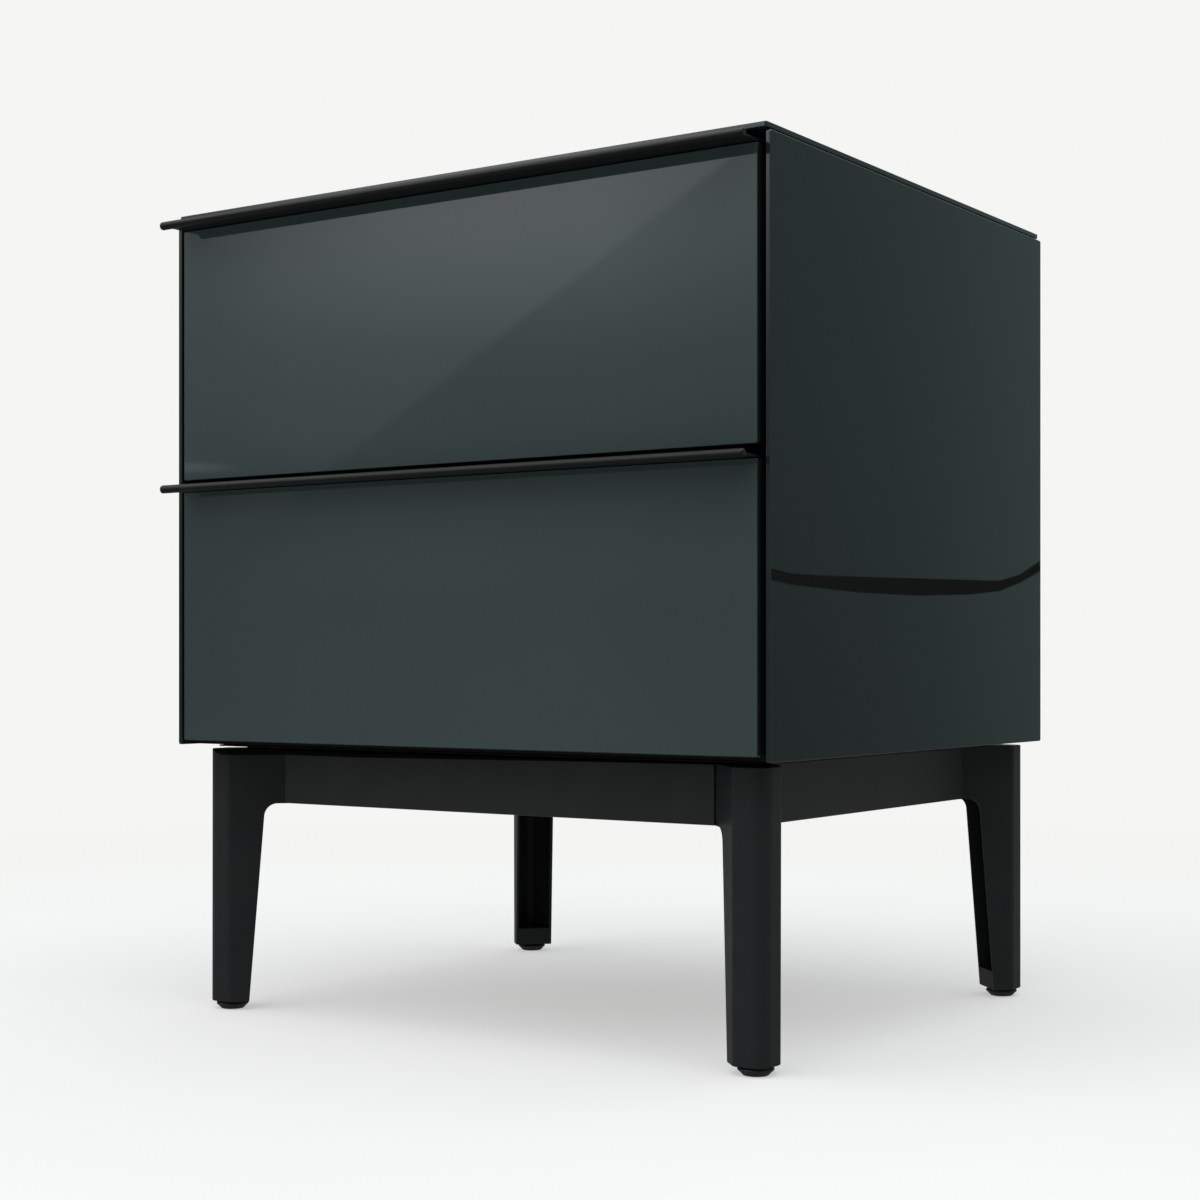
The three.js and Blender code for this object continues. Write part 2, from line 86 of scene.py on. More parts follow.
class Shader:
    """A material whose colour, roughness and relief come from noise in the piece's own coordinates."""

    def __init__(self, name):
        self.material = bpy.data.materials.new(name)
        self.material.use_nodes = True
        self.tree = self.material.node_tree
        self.bsdf = self.tree.nodes["Principled BSDF"]
        self.coords = self.node("ShaderNodeTexCoord").outputs["Object"]

    def node(self, kind, **values):
        n = self.tree.nodes.new(kind)
        for key, value in values.items():
            setattr(n, key, value)
        return n

    def link(self, output, target):
        self.tree.links.new(output, target)

    def noise(self, scale, detail=2.0, roughness=0.5, stretch=(1, 1, 1), distortion=0.0):
        mapping = self.node("ShaderNodeMapping")
        mapping.inputs["Scale"].default_value = stretch
        self.link(self.coords, mapping.inputs["Vector"])
        n = self.node("ShaderNodeTexNoise")
        n.inputs["Scale"].default_value = scale
        n.inputs["Detail"].default_value = detail
        n.inputs["Roughness"].default_value = roughness
        n.inputs["Distortion"].default_value = distortion
        self.link(mapping.outputs["Vector"], n.inputs["Vector"])
        return n.outputs["Fac"]

    def cells(self, scale, stretch=(1, 1, 1)):
        mapping = self.node("ShaderNodeMapping")
        mapping.inputs["Scale"].default_value = stretch
        self.link(self.coords, mapping.inputs["Vector"])
        n = self.node("ShaderNodeTexVoronoi")
        n.inputs["Scale"].default_value = scale
        self.link(mapping.outputs["Vector"], n.inputs["Vector"])
        return n.outputs["Distance"]

    def math(self, operation, first, second):
        n = self.node("ShaderNodeMath", operation=operation)
        self.link(first, n.inputs[0])
        self.link(second, n.inputs[1])
        return n.outputs[0]

    def spread(self, value, low, high, start=0.3, end=0.7):
        """value from start..end to low..high."""
        n = self.node("ShaderNodeMapRange")
        for socket, number in zip(("From Min", "From Max", "To Min", "To Max"), (start, end, low, high)):
            n.inputs[socket].default_value = number
        self.link(value, n.inputs["Value"])
        return n.outputs["Result"]

    def colours(self, value, first, second, start=0.3, end=0.7):
        n = self.node("ShaderNodeValToRGB")
        for element, place, colour in zip(n.color_ramp.elements, (start, end), (first, second)):
            element.position = place
            element.color = (*colour, 1)
        self.link(value, n.inputs["Fac"])
        return n.outputs["Color"]

    def colour(self, output):
        self.link(output, self.bsdf.inputs["Base Color"])

    def rough(self, output):
        self.link(output, self.bsdf.inputs["Roughness"])

    def bumps(self, *layers):
        """Relief from (height, depth in metres) layers."""
        normal = None
        for height, depth in layers:
            n = self.node("ShaderNodeBump")
            n.inputs["Strength"].default_value = 1.0
            n.inputs["Distance"].default_value = depth
            self.link(height, n.inputs["Height"])
            if normal is not None:
                self.link(normal, n.inputs["Normal"])
            normal = n.outputs["Normal"]
        self.link(normal, self.bsdf.inputs["Normal"])

    def set(self, **values):
        for key, value in values.items():
            self.bsdf.inputs[key.replace("_", " ").title().replace("Ior", "IOR")].default_value = value
        return self


def scaled(colour, factor):
    return tuple(c * factor for c in colour)


def painted_glass(name, colour, tint=(1.0, 1.0, 1.0), rough=(0.018, 0.034)):
    s = Shader(name)
    s.colour(s.colours(s.noise(5.0, 2.0), scaled(colour, 0.96), scaled(colour, 1.04)))
    s.rough(s.spread(s.noise(24.0, 4.0, 0.65), *rough))
    s.bumps((s.noise(7.0, 1.0), 0.00002))
    return s.set(ior=1.5, specular_tint=(*tint, 1)).material


def polished_edge(name):
    s = Shader(name)
    s.colour(s.colours(s.noise(60.0, 3.0), (0.008, 0.0115, 0.0115), (0.01, 0.014, 0.014)))
    s.rough(s.spread(s.noise(220.0, 3.0, 0.6), 0.05, 0.12))
    s.bumps((s.noise(900.0, 2.0), 0.000004))
    return s.set(ior=1.62).material


def foil(name, colour, rough=(0.48, 0.62), depth=0.00003, gloss=0.5):
    s = Shader(name)
    s.colour(s.colours(s.noise(90.0, 5.0, 0.6), scaled(colour, 0.82), scaled(colour, 1.18)))
    s.rough(s.spread(s.noise(300.0, 4.0, 0.6), *rough))
    s.bumps((s.noise(1500.0, 3.0, 0.6), depth), (s.cells(700.0), depth * 0.6))
    return s.set(specular_ior_level=gloss).material


# a black band painted on the frame's front, a painted shadow of the case's overhang: the height of its lower
# edge along X, from minus to plus the reach
PAINTED_SHADOW_REACH = 0.3
PAINTED_SHADOW_EDGE = ((0.098, 0.1958), (0.125, 0.1909), (0.3, 0.1906), (0.55, 0.1925), (0.8, 0.1944))
PAINTED_SHADOW_BLACK = (0.0022, 0.0022, 0.0023)
PAINTED_SHADOW_GLOSS = 0.03
# a black strip painted at the right end of the front apron, painted shade of its seam with the leg, along X
JOINT_START, JOINT_END = 0.1868, 0.1925


def painted_shade_strips(s, coat, gloss, joint):
    """Lays a painted shadow of the case's overhang as a black band, and a painted dark seam as a black strip
    if asked for, over the coat at the frame's front.
    """
    axes = s.node("ShaderNodeSeparateXYZ")
    s.link(s.coords, axes.inputs[0])
    x, y, z = axes.outputs
    edge = s.node("ShaderNodeValToRGB")
    fill_ramp(edge, PAINTED_SHADOW_EDGE)
    s.link(s.spread(x, 0.0, 1.0, -PAINTED_SHADOW_REACH, PAINTED_SHADOW_REACH), edge.inputs["Fac"])
    rise = s.math("SUBTRACT", z, edge.outputs["Color"])
    strip = s.spread(rise, 0.0, 1.0, -0.0002, 0.0002)
    front = s.spread(y, 1.0, 0.0, -0.12, -0.1)
    if joint:
        begins = s.spread(x, 0.0, 1.0, JOINT_START, JOINT_START + 0.0004)
        stops = s.spread(x, 1.0, 0.0, JOINT_END, JOINT_END + 0.001)
        strip = s.math("MAXIMUM", strip, s.math("MULTIPLY", begins, stops))
    black = s.math("MULTIPLY", strip, front)
    mix = s.node("ShaderNodeMix", data_type="RGBA")
    s.link(black, mix.inputs[0])
    s.link(coat, mix.inputs[6])
    mix.inputs[7].default_value = (*PAINTED_SHADOW_BLACK, 1)
    s.link(s.spread(black, gloss, PAINTED_SHADOW_GLOSS, 0.0, 1.0), s.bsdf.inputs["Specular IOR Level"])
    return mix.outputs[2]


def powder_coat(name, colour, rough=(0.3, 0.38), gloss=0.14, painted_shadow=False, joint=False):
    """A fine matt coat, with the frame's painted shadow band and painted dark seam if asked for."""
    s = Shader(name)
    coat = s.colours(s.noise(40.0, 4.0, 0.6), scaled(colour, 0.92), scaled(colour, 1.08))
    if painted_shadow:
        coat = painted_shade_strips(s, coat, gloss, joint)
    s.colour(coat)
    s.rough(s.spread(s.noise(180.0, 4.0, 0.6), *rough))
    s.bumps((s.noise(520.0, 2.0, 0.5), 0.000016), (s.noise(2600.0, 2.0, 0.5), 0.000003))
    return s.set(specular_ior_level=gloss).material


def anodised(name, colour):
    s = Shader(name)
    grain = s.noise(900.0, 3.0, 0.6, stretch=(0.02, 1, 1))
    s.colour(s.colours(grain, scaled(colour, 0.85), scaled(colour, 1.15)))
    s.rough(s.spread(grain, 0.3, 0.42))
    s.bumps((grain, 0.000006))
    return s.set(specular_ior_level=0.24).material


def zinc(name):
    s = Shader(name)
    rolled = s.noise(700.0, 4.0, 0.6, stretch=(1, 0.03, 1))
    s.colour(s.colours(s.noise(55.0, 5.0, 0.7, distortion=0.6), (0.34, 0.35, 0.36), (0.5, 0.51, 0.51)))
    s.rough(s.spread(rolled, 0.24, 0.4))
    s.bumps((rolled, 0.000008))
    return s.set(metallic=1.0).material


def moulded(name, colour, rough=(0.42, 0.55), depth=0.00002):
    s = Shader(name)
    s.colour(s.colours(s.noise(150.0, 4.0), scaled(colour, 0.85), scaled(colour, 1.2)))
    s.rough(s.spread(s.noise(400.0, 3.0), *rough))
    s.bumps((s.cells(1600.0), depth))
    return s.material


# the panes are one petrol painted glass in three colours: the front's colour adds a pale neutral veil to the
# petrol, a painted reflection, and the sides' darker neutral colour, with the petrol moved into their
# reflection tint, is a painted shaded copy
SIDE_GLASS = painted_glass("side_glass_paint", (0.0118, 0.0124, 0.0124), (0.7, 1.0, 1.02), (0.008, 0.016))
TOP_GLASS = painted_glass("top_glass_paint", (0.0185, 0.034, 0.0352))
FRONT_GLASS = painted_glass("front_glass_paint", (0.0372, 0.0535, 0.055))
GLASS_EDGE = polished_edge("glass_edge")
CARCASS = foil("carcass_foil_black", (0.0085, 0.0085, 0.0087), (0.6, 0.75), gloss=0.06)
BOX = foil("box_foil_anthracite", (0.024, 0.026, 0.027), (0.4, 0.55), 0.00004)
LEG = powder_coat("leg_coat", (0.0165, 0.0182, 0.0188), painted_shadow=True)
# the apron's coat is the legs' coat painted lighter, a painted lift making up for the shade under the case's
# overhang
APRON = powder_coat("apron_coat", (0.0248, 0.0265, 0.0272), painted_shadow=True, joint=True)
HANDLE = anodised("handle_anodised", (0.0048, 0.0053, 0.0053))
PLATE = powder_coat("plate_coat", (0.0055, 0.0055, 0.0057), (0.6, 0.7), 0.06)
ZINC = zinc("zinc_plate")
FOOT = moulded("foot_plastic_black", (0.009, 0.009, 0.009))
RUBBER = moulded("rubber_black", (0.006, 0.006, 0.006), (0.75, 0.9), 0.00004)

BY_SLOT = {
    "painted_glass": SIDE_GLASS,
    "front_glass": FRONT_GLASS,
    "carcass_foil": CARCASS,
    "box_foil": BOX,
    "leg_paint": LEG,
    "handle_paint": HANDLE,
    "black_steel": PLATE,
    "zinc_steel": ZINC,
    "foot_plastic": FOOT,
    "rubber": RUBBER,
}
SLOT_OF = {row["node"]: row["material_slot"] for row in frame["record"]["subparts"]}
for node_name, node in NODES.items():
    node.data.materials.clear()
    node.data.materials.append(BY_SLOT[SLOT_OF[node_name]])


# ---- mesh code ----
BODY_OF = {n: body for body, members in frame["record"]["behaviour"]["bodies"].items() for n in members}


def make(name, points, faces, materials, slots=None):
    mesh = bpy.data.meshes.new(name)
    mesh.from_pydata([tuple(p) for p in points], [], faces)
    for m in materials:
        mesh.materials.append(m)
    if slots:
        mesh.polygons.foreach_set("material_index", slots)
    mesh.validate()
    piece = bpy.data.objects.new(name, mesh)
    bpy.context.scene.collection.objects.link(piece)
    return piece


def finish_piece(piece, node_name, bevel=0.0, angle=28):
    """Smooth shading inside the angle, a fine bevel if asked for, then the piece stands for its CAD node."""
    if bevel:
        b = piece.modifiers.new("edges", "BEVEL")
        b.width = bevel
        b.segments = 2
        b.limit_method = "ANGLE"
        b.angle_limit = math.radians(35)
        bake(piece)
    piece.data.polygons.foreach_set("use_smooth", [True] * len(piece.data.polygons))
    piece.data.set_sharp_from_angle(angle=math.radians(angle))
    weighted = piece.modifiers.new("normals", "WEIGHTED_NORMAL")
    weighted.keep_sharp = True
    weighted.weight = 100
    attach(piece, BODY_OF[node_name])
    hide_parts(node_name)
    return piece


def bake(piece):
    """Applies the piece's modifiers to its mesh."""
    bpy.context.view_layer.update()
    graph = bpy.context.evaluated_depsgraph_get()
    made = bpy.data.meshes.new_from_object(piece.evaluated_get(graph))
    piece.modifiers.clear()
    piece.data = made


def combine(piece, tools, operation="DIFFERENCE"):
    for tool in tools:
        b = piece.modifiers.new("tool", "BOOLEAN")
        b.operation = operation
        b.solver = "EXACT"
        b.object = tool
        bake(piece)
        bpy.data.objects.remove(tool)


def skin(rings):
    """Points and faces of a closed body through rings of equal length."""
    count = len(rings[0])
    points = [p for ring in rings for p in ring]
    faces = []
    for k in range(len(rings) - 1):
        for i in range(count):
            a, b = k * count + i, k * count + (i + 1) % count
            faces.append((a, b, b + count, a + count))
    faces.append(tuple(reversed(range(count))))
    faces.append(tuple(range((len(rings) - 1) * count, len(rings) * count)))
    return points, faces


def arc(cx, cy, radius, start, end, steps):
    angles = [math.radians(start + (end - start) * i / steps) for i in range(steps + 1)]
    return [(cx + radius * math.cos(a), cy + radius * math.sin(a)) for a in angles]


def rounded_outline(half_w, half_h, radius, steps=6):
    radius = max(radius, 0.00005)
    x, y = half_w - radius, half_h - radius
    return (
        arc(x, y, radius, 0, 90, steps)
        + arc(-x, y, radius, 90, 180, steps)
        + arc(-x, -y, radius, 180, 270, steps)
        + arc(x, -y, radius, 270, 360, steps)
    )


def pane(name, node_name, radius, edge, face_material, thin):
    """A sheet of glass that fills its CAD node's box, with rounded corners and a rounded polished edge."""
    low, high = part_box(node_name)
    centre = (low + high) / 2
    half = (high - low) / 2
    a, b = [i for i in range(3) if i != thin]
    steps = 5
    levels = []
    for k in range(steps, -1, -1):
        turn = math.radians(90 * k / steps)
        levels.append((edge * (1 - math.sin(turn)) - half[thin], edge * (1 - math.cos(turn))))
    levels = levels + [(-z, inset) for z, inset in reversed(levels)]
    rings = []
    for level, inset in levels:
        outline = rounded_outline(half[a] - inset, half[b] - inset, radius - inset * 0.6)
        ring = []
        for u, v in outline:
            p = [0, 0, 0]
            p[a], p[b], p[thin] = centre[a] + u, centre[b] + v, centre[thin] + level
            ring.append(tuple(p))
        rings.append(ring)
    points, faces = skin(rings)
    if thin == 1:
        faces = [tuple(reversed(f)) for f in faces]
    slots = [1] * (len(faces) - 2) + [0, 0]
    piece = make(name, points, faces, [face_material, GLASS_EDGE], slots)
    return finish_piece(piece, node_name)


GLASS_CORNER = 1.5 * MM
pane("top_pane", "top_glass", GLASS_CORNER, 0.5 * MM, TOP_GLASS, 2)
for side in SIDES:
    pane(f"side_pane_{side}", f"side_glass_{side}", GLASS_CORNER, 0.6 * MM, SIDE_GLASS, 0)
for drawer in DRAWERS:
    pane(f"{drawer}_front_pane", f"{drawer}_front_glass", 1.6 * MM, 0.5 * MM, FRONT_GLASS, 1)


# ---- handles: one mesh of a round bar, its flange and its lip ----
def bar_along_x(name, centre, radius, half_length, tip, material, around=40):
    profile = [(half_length - tip + tip * math.sin(t), radius - tip + tip * math.cos(t)) for t in
               [math.radians(90 * k / 6) for k in range(7)]]
    stations = [(-x, r) for x, r in reversed(profile)] + profile
    rings = []
    for x, r in stations:
        rings.append(
            [
                (centre[0] + x, centre[1] + r * math.cos(2 * math.pi * i / around),
                 centre[2] + r * math.sin(2 * math.pi * i / around))
                for i in range(around)
            ]
        )
    points, faces = skin(rings)
    return make(name, points, faces, [material])


def brick(name, low, high, material, bevel=0.0):
    (x0, y0, z0), (x1, y1, z1) = low, high
    e = bevel
    rings = []
    for z, inset in ((z0, e), (z0 + e, 0), (z1 - e, 0), (z1, e)) if e else ((z0, 0), (z1, 0)):
        rings.append([(x0 + inset, y0 + inset, z), (x1 - inset, y0 + inset, z),
                      (x1 - inset, y1 - inset, z), (x0 + inset, y1 - inset, z)])
    points, faces = skin(rings)
    return make(name, points, faces, [material])


ROD_RADIUS = 3 * MM
FLANGE = 1.5 * MM
for drawer in DRAWERS:
    node_name = f"{drawer}_handle"
    low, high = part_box(node_name)
    glass_low, glass_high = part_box(f"{drawer}_front_glass")
    bar_y, bar_z = low.y + ROD_RADIUS, high.z - ROD_RADIUS
    plate_low, plate_high = bar_z - FLANGE / 2, bar_z + FLANGE / 2
    bar = bar_along_x(f"{drawer}_bar_handle", (0, bar_y, bar_z), ROD_RADIUS, high.x, 1.3 * MM, HANDLE)
    wing = brick("wing", (glass_low.x, bar_y, plate_low), (glass_high.x, high.y, plate_high), HANDLE)
    lip_x = glass_high.x - 8 * MM
    lip = brick("lip", (-lip_x, high.y - FLANGE, low.z), (lip_x, high.y, plate_high - 0.3 * MM), HANDLE)
    combine(bar, [wing, lip], "UNION")
    finish_piece(bar, node_name, bevel=0.25 * MM)


# ---- legs ----
LEG_LOW = {"flat": 13.3, "m": 15.9, "nose": 9.0, "shoulder": 6.0}
LEG_HIGH = {"flat": 13.9, "m": 16.2, "nose": 11.5, "shoulder": 6.0}
LEG_BOTTOM, LEG_TOP, UNDERSIDE, HOLLOW = 6.0, 195.4, 154.4, 20.5
TAPER, TIP_D, END_D, FILLET, WALL, TOP_PLATE = 0.08, 12.0, 48.0, 10.0, 2.0, 2.8
DIAGONAL = math.sqrt(2)


def leg_outline(z, inset, d, corner=0.6):
    """One level of a leg, in its own plan: u and v run inward along the two aprons."""
    t = (z - LEG_BOTTOM) / (LEG_TOP - LEG_BOTTOM)
    flat, m, nose, shoulder = (
        LEG_LOW[k] + (LEG_HIGH[k] - LEG_LOW[k]) * t - inset for k in ("flat", "m", "nose", "shoulder")
    )
    d -= inset
    cv = shoulder - flat
    cu = cv + DIAGONAL * (m - shoulder)
    # the corner centres lie one corner radius in from both the flank and the end face
    c1 = ((d - corner + m - corner) / DIAGONAL, (d - corner - m + corner) / DIAGONAL)
    c2 = ((d - corner - m + corner) / DIAGONAL, (d - corner + m - corner) / DIAGONAL)
    return (
        arc(nose - flat, nose - flat, nose, 180, 270, 24)
        + arc(cu, cv, shoulder, 270, 315, 8)
        + arc(*c1, corner, -45, 45, 4)
        + arc(*c2, corner, 45, 135, 4)
        + arc(cv, cu, shoulder, 135, 180, 8)
    )


def leg_mesh(name, levels):
    rings = [[(u, v, z) for u, v in leg_outline(z, inset, d)] for z, inset, d in levels]
    points, faces = skin(rings)
    return make(name, [tuple(c * MM for c in p) for p in points], faces, [LEG])


def line_d(z):
    return TIP_D + TAPER * (z - LEG_BOTTOM)


def leg_levels():
    """(height, inset, end along the diagonal) of each ring of the outer shape."""
    slope = math.hypot(1, TAPER)
    centre_z = UNDERSIDE - FILLET
    centre_d = line_d(centre_z) + FILLET * slope
    lean = math.atan(TAPER)
    levels = []
    for k in range(5):
        turn = math.radians(90 * k / 4)
        levels.append((LEG_BOTTOM + 0.8 * (1 - math.cos(turn)), 0.8 * (1 - math.sin(turn)), 0))
    for z in (40, 80, 110):
        levels.append((z, 0, 0))
    levels = [(z, inset, line_d(z)) for z, inset, _ in levels]
    for k in range(17):
        turn = math.pi - lean - (math.pi / 2 - lean) * k / 16
        levels.append((centre_z + FILLET * math.sin(turn), 0, centre_d + FILLET * math.cos(turn)))
    edge = 0.5
    for k in range(4):
        turn = math.radians(90 * k / 3)
        levels.append((UNDERSIDE + edge * (1 - math.cos(turn)), 0, END_D - edge * (1 - math.sin(turn))))
    levels.append((170, 0, END_D))
    for k in range(4):
        turn = math.radians(90 * k / 3)
        levels.append((LEG_TOP - 0.5 + 0.5 * math.sin(turn), 0.5 * (1 - math.cos(turn)), END_D))
    return levels


def turned(name, profile, material, around=64):
    """A body turned about its own Z, from (radius, height) pairs in millimetres."""
    rings = [
        [
            (r * math.cos(2 * math.pi * i / around) * MM, r * math.sin(2 * math.pi * i / around) * MM, z * MM)
            for i in range(around)
        ]
        for r, z in profile
    ]
    points, faces = skin(rings)
    return make(name, points, faces, [material])


leg_master = leg_mesh("leg_master", leg_levels())
hollow_levels = [(HOLLOW, WALL, END_D), (LEG_TOP - TOP_PLATE, WALL, END_D)]
hollow = leg_mesh("hollow", hollow_levels)
stem_hole = turned("stem_hole", [(4.5, 0), (4.5, HOLLOW + 5)], LEG, 32)
bolt_hole = turned("bolt_hole", [(3.3, LEG_TOP - 8), (3.3, LEG_TOP + 8)], LEG, 24)
bolt_hole.data.transform(Matrix.Translation((14 * MM, 14 * MM, 0)))
combine(leg_master, [hollow, stem_hole, bolt_hole])
leg_bevel = leg_master.modifiers.new("edges", "BEVEL")
leg_bevel.width = 0.3 * MM
leg_bevel.segments = 2
leg_bevel.limit_method = "ANGLE"
leg_bevel.angle_limit = math.radians(40)
bake(leg_master)

FOOT_PROFILE = (
    [(0.4, 0), (7.4, 0)]
    + [(8.0 + 0.6 * math.sin(math.radians(a)), 0.6 - 0.6 * math.cos(math.radians(a))) for a in (15, 35, 55)]
    + [(10.9, 2.75)]
    + arc(10.75, 3.9, 1.1, -45, 90, 9)
    + [(4.6, 5.02), (4.2, 5.1), (4.05, 5.4), (4.05, 17.8), (3.9, 18.3), (3.4, 18.7), (0.4, 18.8)]
)

for quarter, label in enumerate(CORNERS):
    low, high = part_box(f"levelling_foot_{label}")
    place = Matrix.Translation(((low.x + high.x) / 2, (low.y + high.y) / 2, 0))
    turn = Matrix.Rotation(math.radians(90 * quarter), 4, "Z")
    leg = bpy.data.objects.new(f"metal_leg_{label}", leg_master.data.copy())
    bpy.context.scene.collection.objects.link(leg)
    leg.data.transform(place @ turn)
    finish_piece(leg, f"leg_{label}")
    foot = turned(f"screw_foot_{label}", FOOT_PROFILE, FOOT)
    foot.data.transform(place)
    finish_piece(foot, f"levelling_foot_{label}")
bpy.data.objects.remove(leg_master)


# ---- aprons: folded sheet with rounded bends, mitred towards the legs ----
def apron_profile(z0, z1, flange=16.0, sheet=2.0, bend=2.2):
    """(depth, height) pairs round a C-section, in millimetres, counter-clockwise from its lower lip."""
    inner = bend - sheet if bend > sheet else 0.2
    return (
        [(flange, z0), (flange, z0 + sheet)]
        + arc(sheet + inner, z0 + sheet + inner, inner, 270, 180, 3)
        + arc(sheet + inner, z1 - sheet - inner, inner, 180, 90, 3)
        + [(flange, z1 - sheet), (flange, z1)]
        + arc(bend, z1 - bend, bend, 90, 180, 6)
        + arc(bend, z0 + bend, bend, 180, 270, 6)
    )


for label, quarter in (("front", 0), ("right", 1), ("back", 2), ("left", 3)):
    node_name = f"apron_{label}"
    low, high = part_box(node_name)
    size = high - low
    outer_half = max(size.x, size.y) / 2 / MM
    centre = (low + high) / 2
    profile = apron_profile(low.z / MM, high.z / MM)
    rings = [[(side * (outer_half - depth), depth, z) for depth, z in profile] for side in (1, -1)]
    points, faces = skin(rings)
    piece = make(f"steel_apron_{label}", [tuple(c * MM for c in p) for p in points], faces, [APRON])
    x = {"right": high.x, "left": low.x}.get(label, centre.x)
    y = {"front": low.y, "back": high.y}.get(label, centre.y)
    piece.data.transform(Matrix.Translation((x, y, 0)) @ Matrix.Rotation(math.radians(90 * quarter), 4, "Z"))
    finish_piece(piece, node_name, bevel=0.2 * MM)


# ---- stiffening board in the aprons' channels, its corners cut back from the legs ----
low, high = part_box("mounting_board")
middle = (low + high) / 2
EDGE_FROM_LEG, LEG_GAP = 17.8, 0.7
corner = ((END_D + LEG_GAP) * DIAGONAL - 2 * EDGE_FROM_LEG) * MM


def board_ring(z, inward):
    x, y, cut = high.x - middle.x - inward, high.y - middle.y - inward, corner - inward * 0.6
    quarter = [(x - cut, -y), (x, -y + cut), (x, y - cut), (x - cut, y)]
    return [(u, v, z) for u, v in quarter + [(-u, v) for u, v in reversed(quarter)]]


edge = 0.4 * MM
levels = ((low.z, edge), (low.z + edge, 0), (high.z - edge, 0), (high.z, edge))
points, faces = skin([board_ring(z, inward) for z, inward in levels])
board = make("under_case_board", points, faces, [CARCASS])
board.data.transform(Matrix.Translation((middle.x, middle.y, 0)))
finish_piece(board, "mounting_board")


# ---- floor, world and lights ----
BACKGROUND = (0.913, 0.913, 0.896)


def make_floor():
    radius, around = 3.4, 96
    radii = [0.05 * 1.12**k for k in range(38)]
    radii = [r for r in radii if r < radius] + [radius]
    points = [(0.0, 0.0, 0.0)]
    for r in radii:
        points += [(r * math.cos(2 * math.pi * i / around), r * math.sin(2 * math.pi * i / around), 0.0)
                   for i in range(around)]
    faces = [(0, 1 + i, 1 + (i + 1) % around) for i in range(around)]
    for k in range(len(radii) - 1):
        for i in range(around):
            a, b = 1 + k * around + i, 1 + k * around + (i + 1) % around
            faces.append((a, a + around, b + around, b))
    s = Shader("pale_floor")
    tree = s.tree
    output = tree.nodes["Material Output"]
    tree.nodes.remove(s.bsdf)
    paper = s.node("ShaderNodeBsdfDiffuse")
    s.link(s.colours(s.noise(3.0, 3.0), (0.34, 0.34, 0.338), (0.35, 0.35, 0.348)), paper.inputs["Color"])
    glow = s.node("ShaderNodeEmission")
    glow.inputs["Color"].default_value = (*BACKGROUND, 1)
    glow.inputs["Strength"].default_value = 0.495
    near = s.node("ShaderNodeAddShader")
    s.link(paper.outputs[0], near.inputs[0])
    s.link(glow.outputs[0], near.inputs[1])
    far = s.node("ShaderNodeEmission")
    far.inputs["Color"].default_value = (*BACKGROUND, 1)
    distance = s.node("ShaderNodeVectorMath", operation="LENGTH")
    s.link(s.coords, distance.inputs[0])
    fade = s.spread(distance.outputs["Value"], 0.0, 1.0, 0.75, 1.9)
    mix = s.node("ShaderNodeMixShader")
    s.link(fade, mix.inputs[0])
    s.link(near.outputs[0], mix.inputs[1])
    s.link(far.outputs[0], mix.inputs[2])
    # mirrored and scattered light find the floor darker than it looks
    dim = s.node("ShaderNodeEmission")
    dim.inputs["Color"].default_value = (0.135, 0.135, 0.133, 1)
    path = s.node("ShaderNodeLightPath")
    mirrored = s.spread(path.outputs["Is Glossy Ray"], 0.0, 0.9, 0.0, 1.0)
    scattered = s.spread(path.outputs["Is Diffuse Ray"], 0.0, 0.38, 0.0, 1.0)
    seen = s.node("ShaderNodeMixShader")
    s.link(s.math("MAXIMUM", mirrored, scattered), seen.inputs[0])
    s.link(mix.outputs[0], seen.inputs[1])
    s.link(dim.outputs[0], seen.inputs[2])
    s.link(seen.outputs[0], output.inputs["Surface"])
    floor = make("studio_floor", points, faces, [s.material])
    floor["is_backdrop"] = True


make_floor()


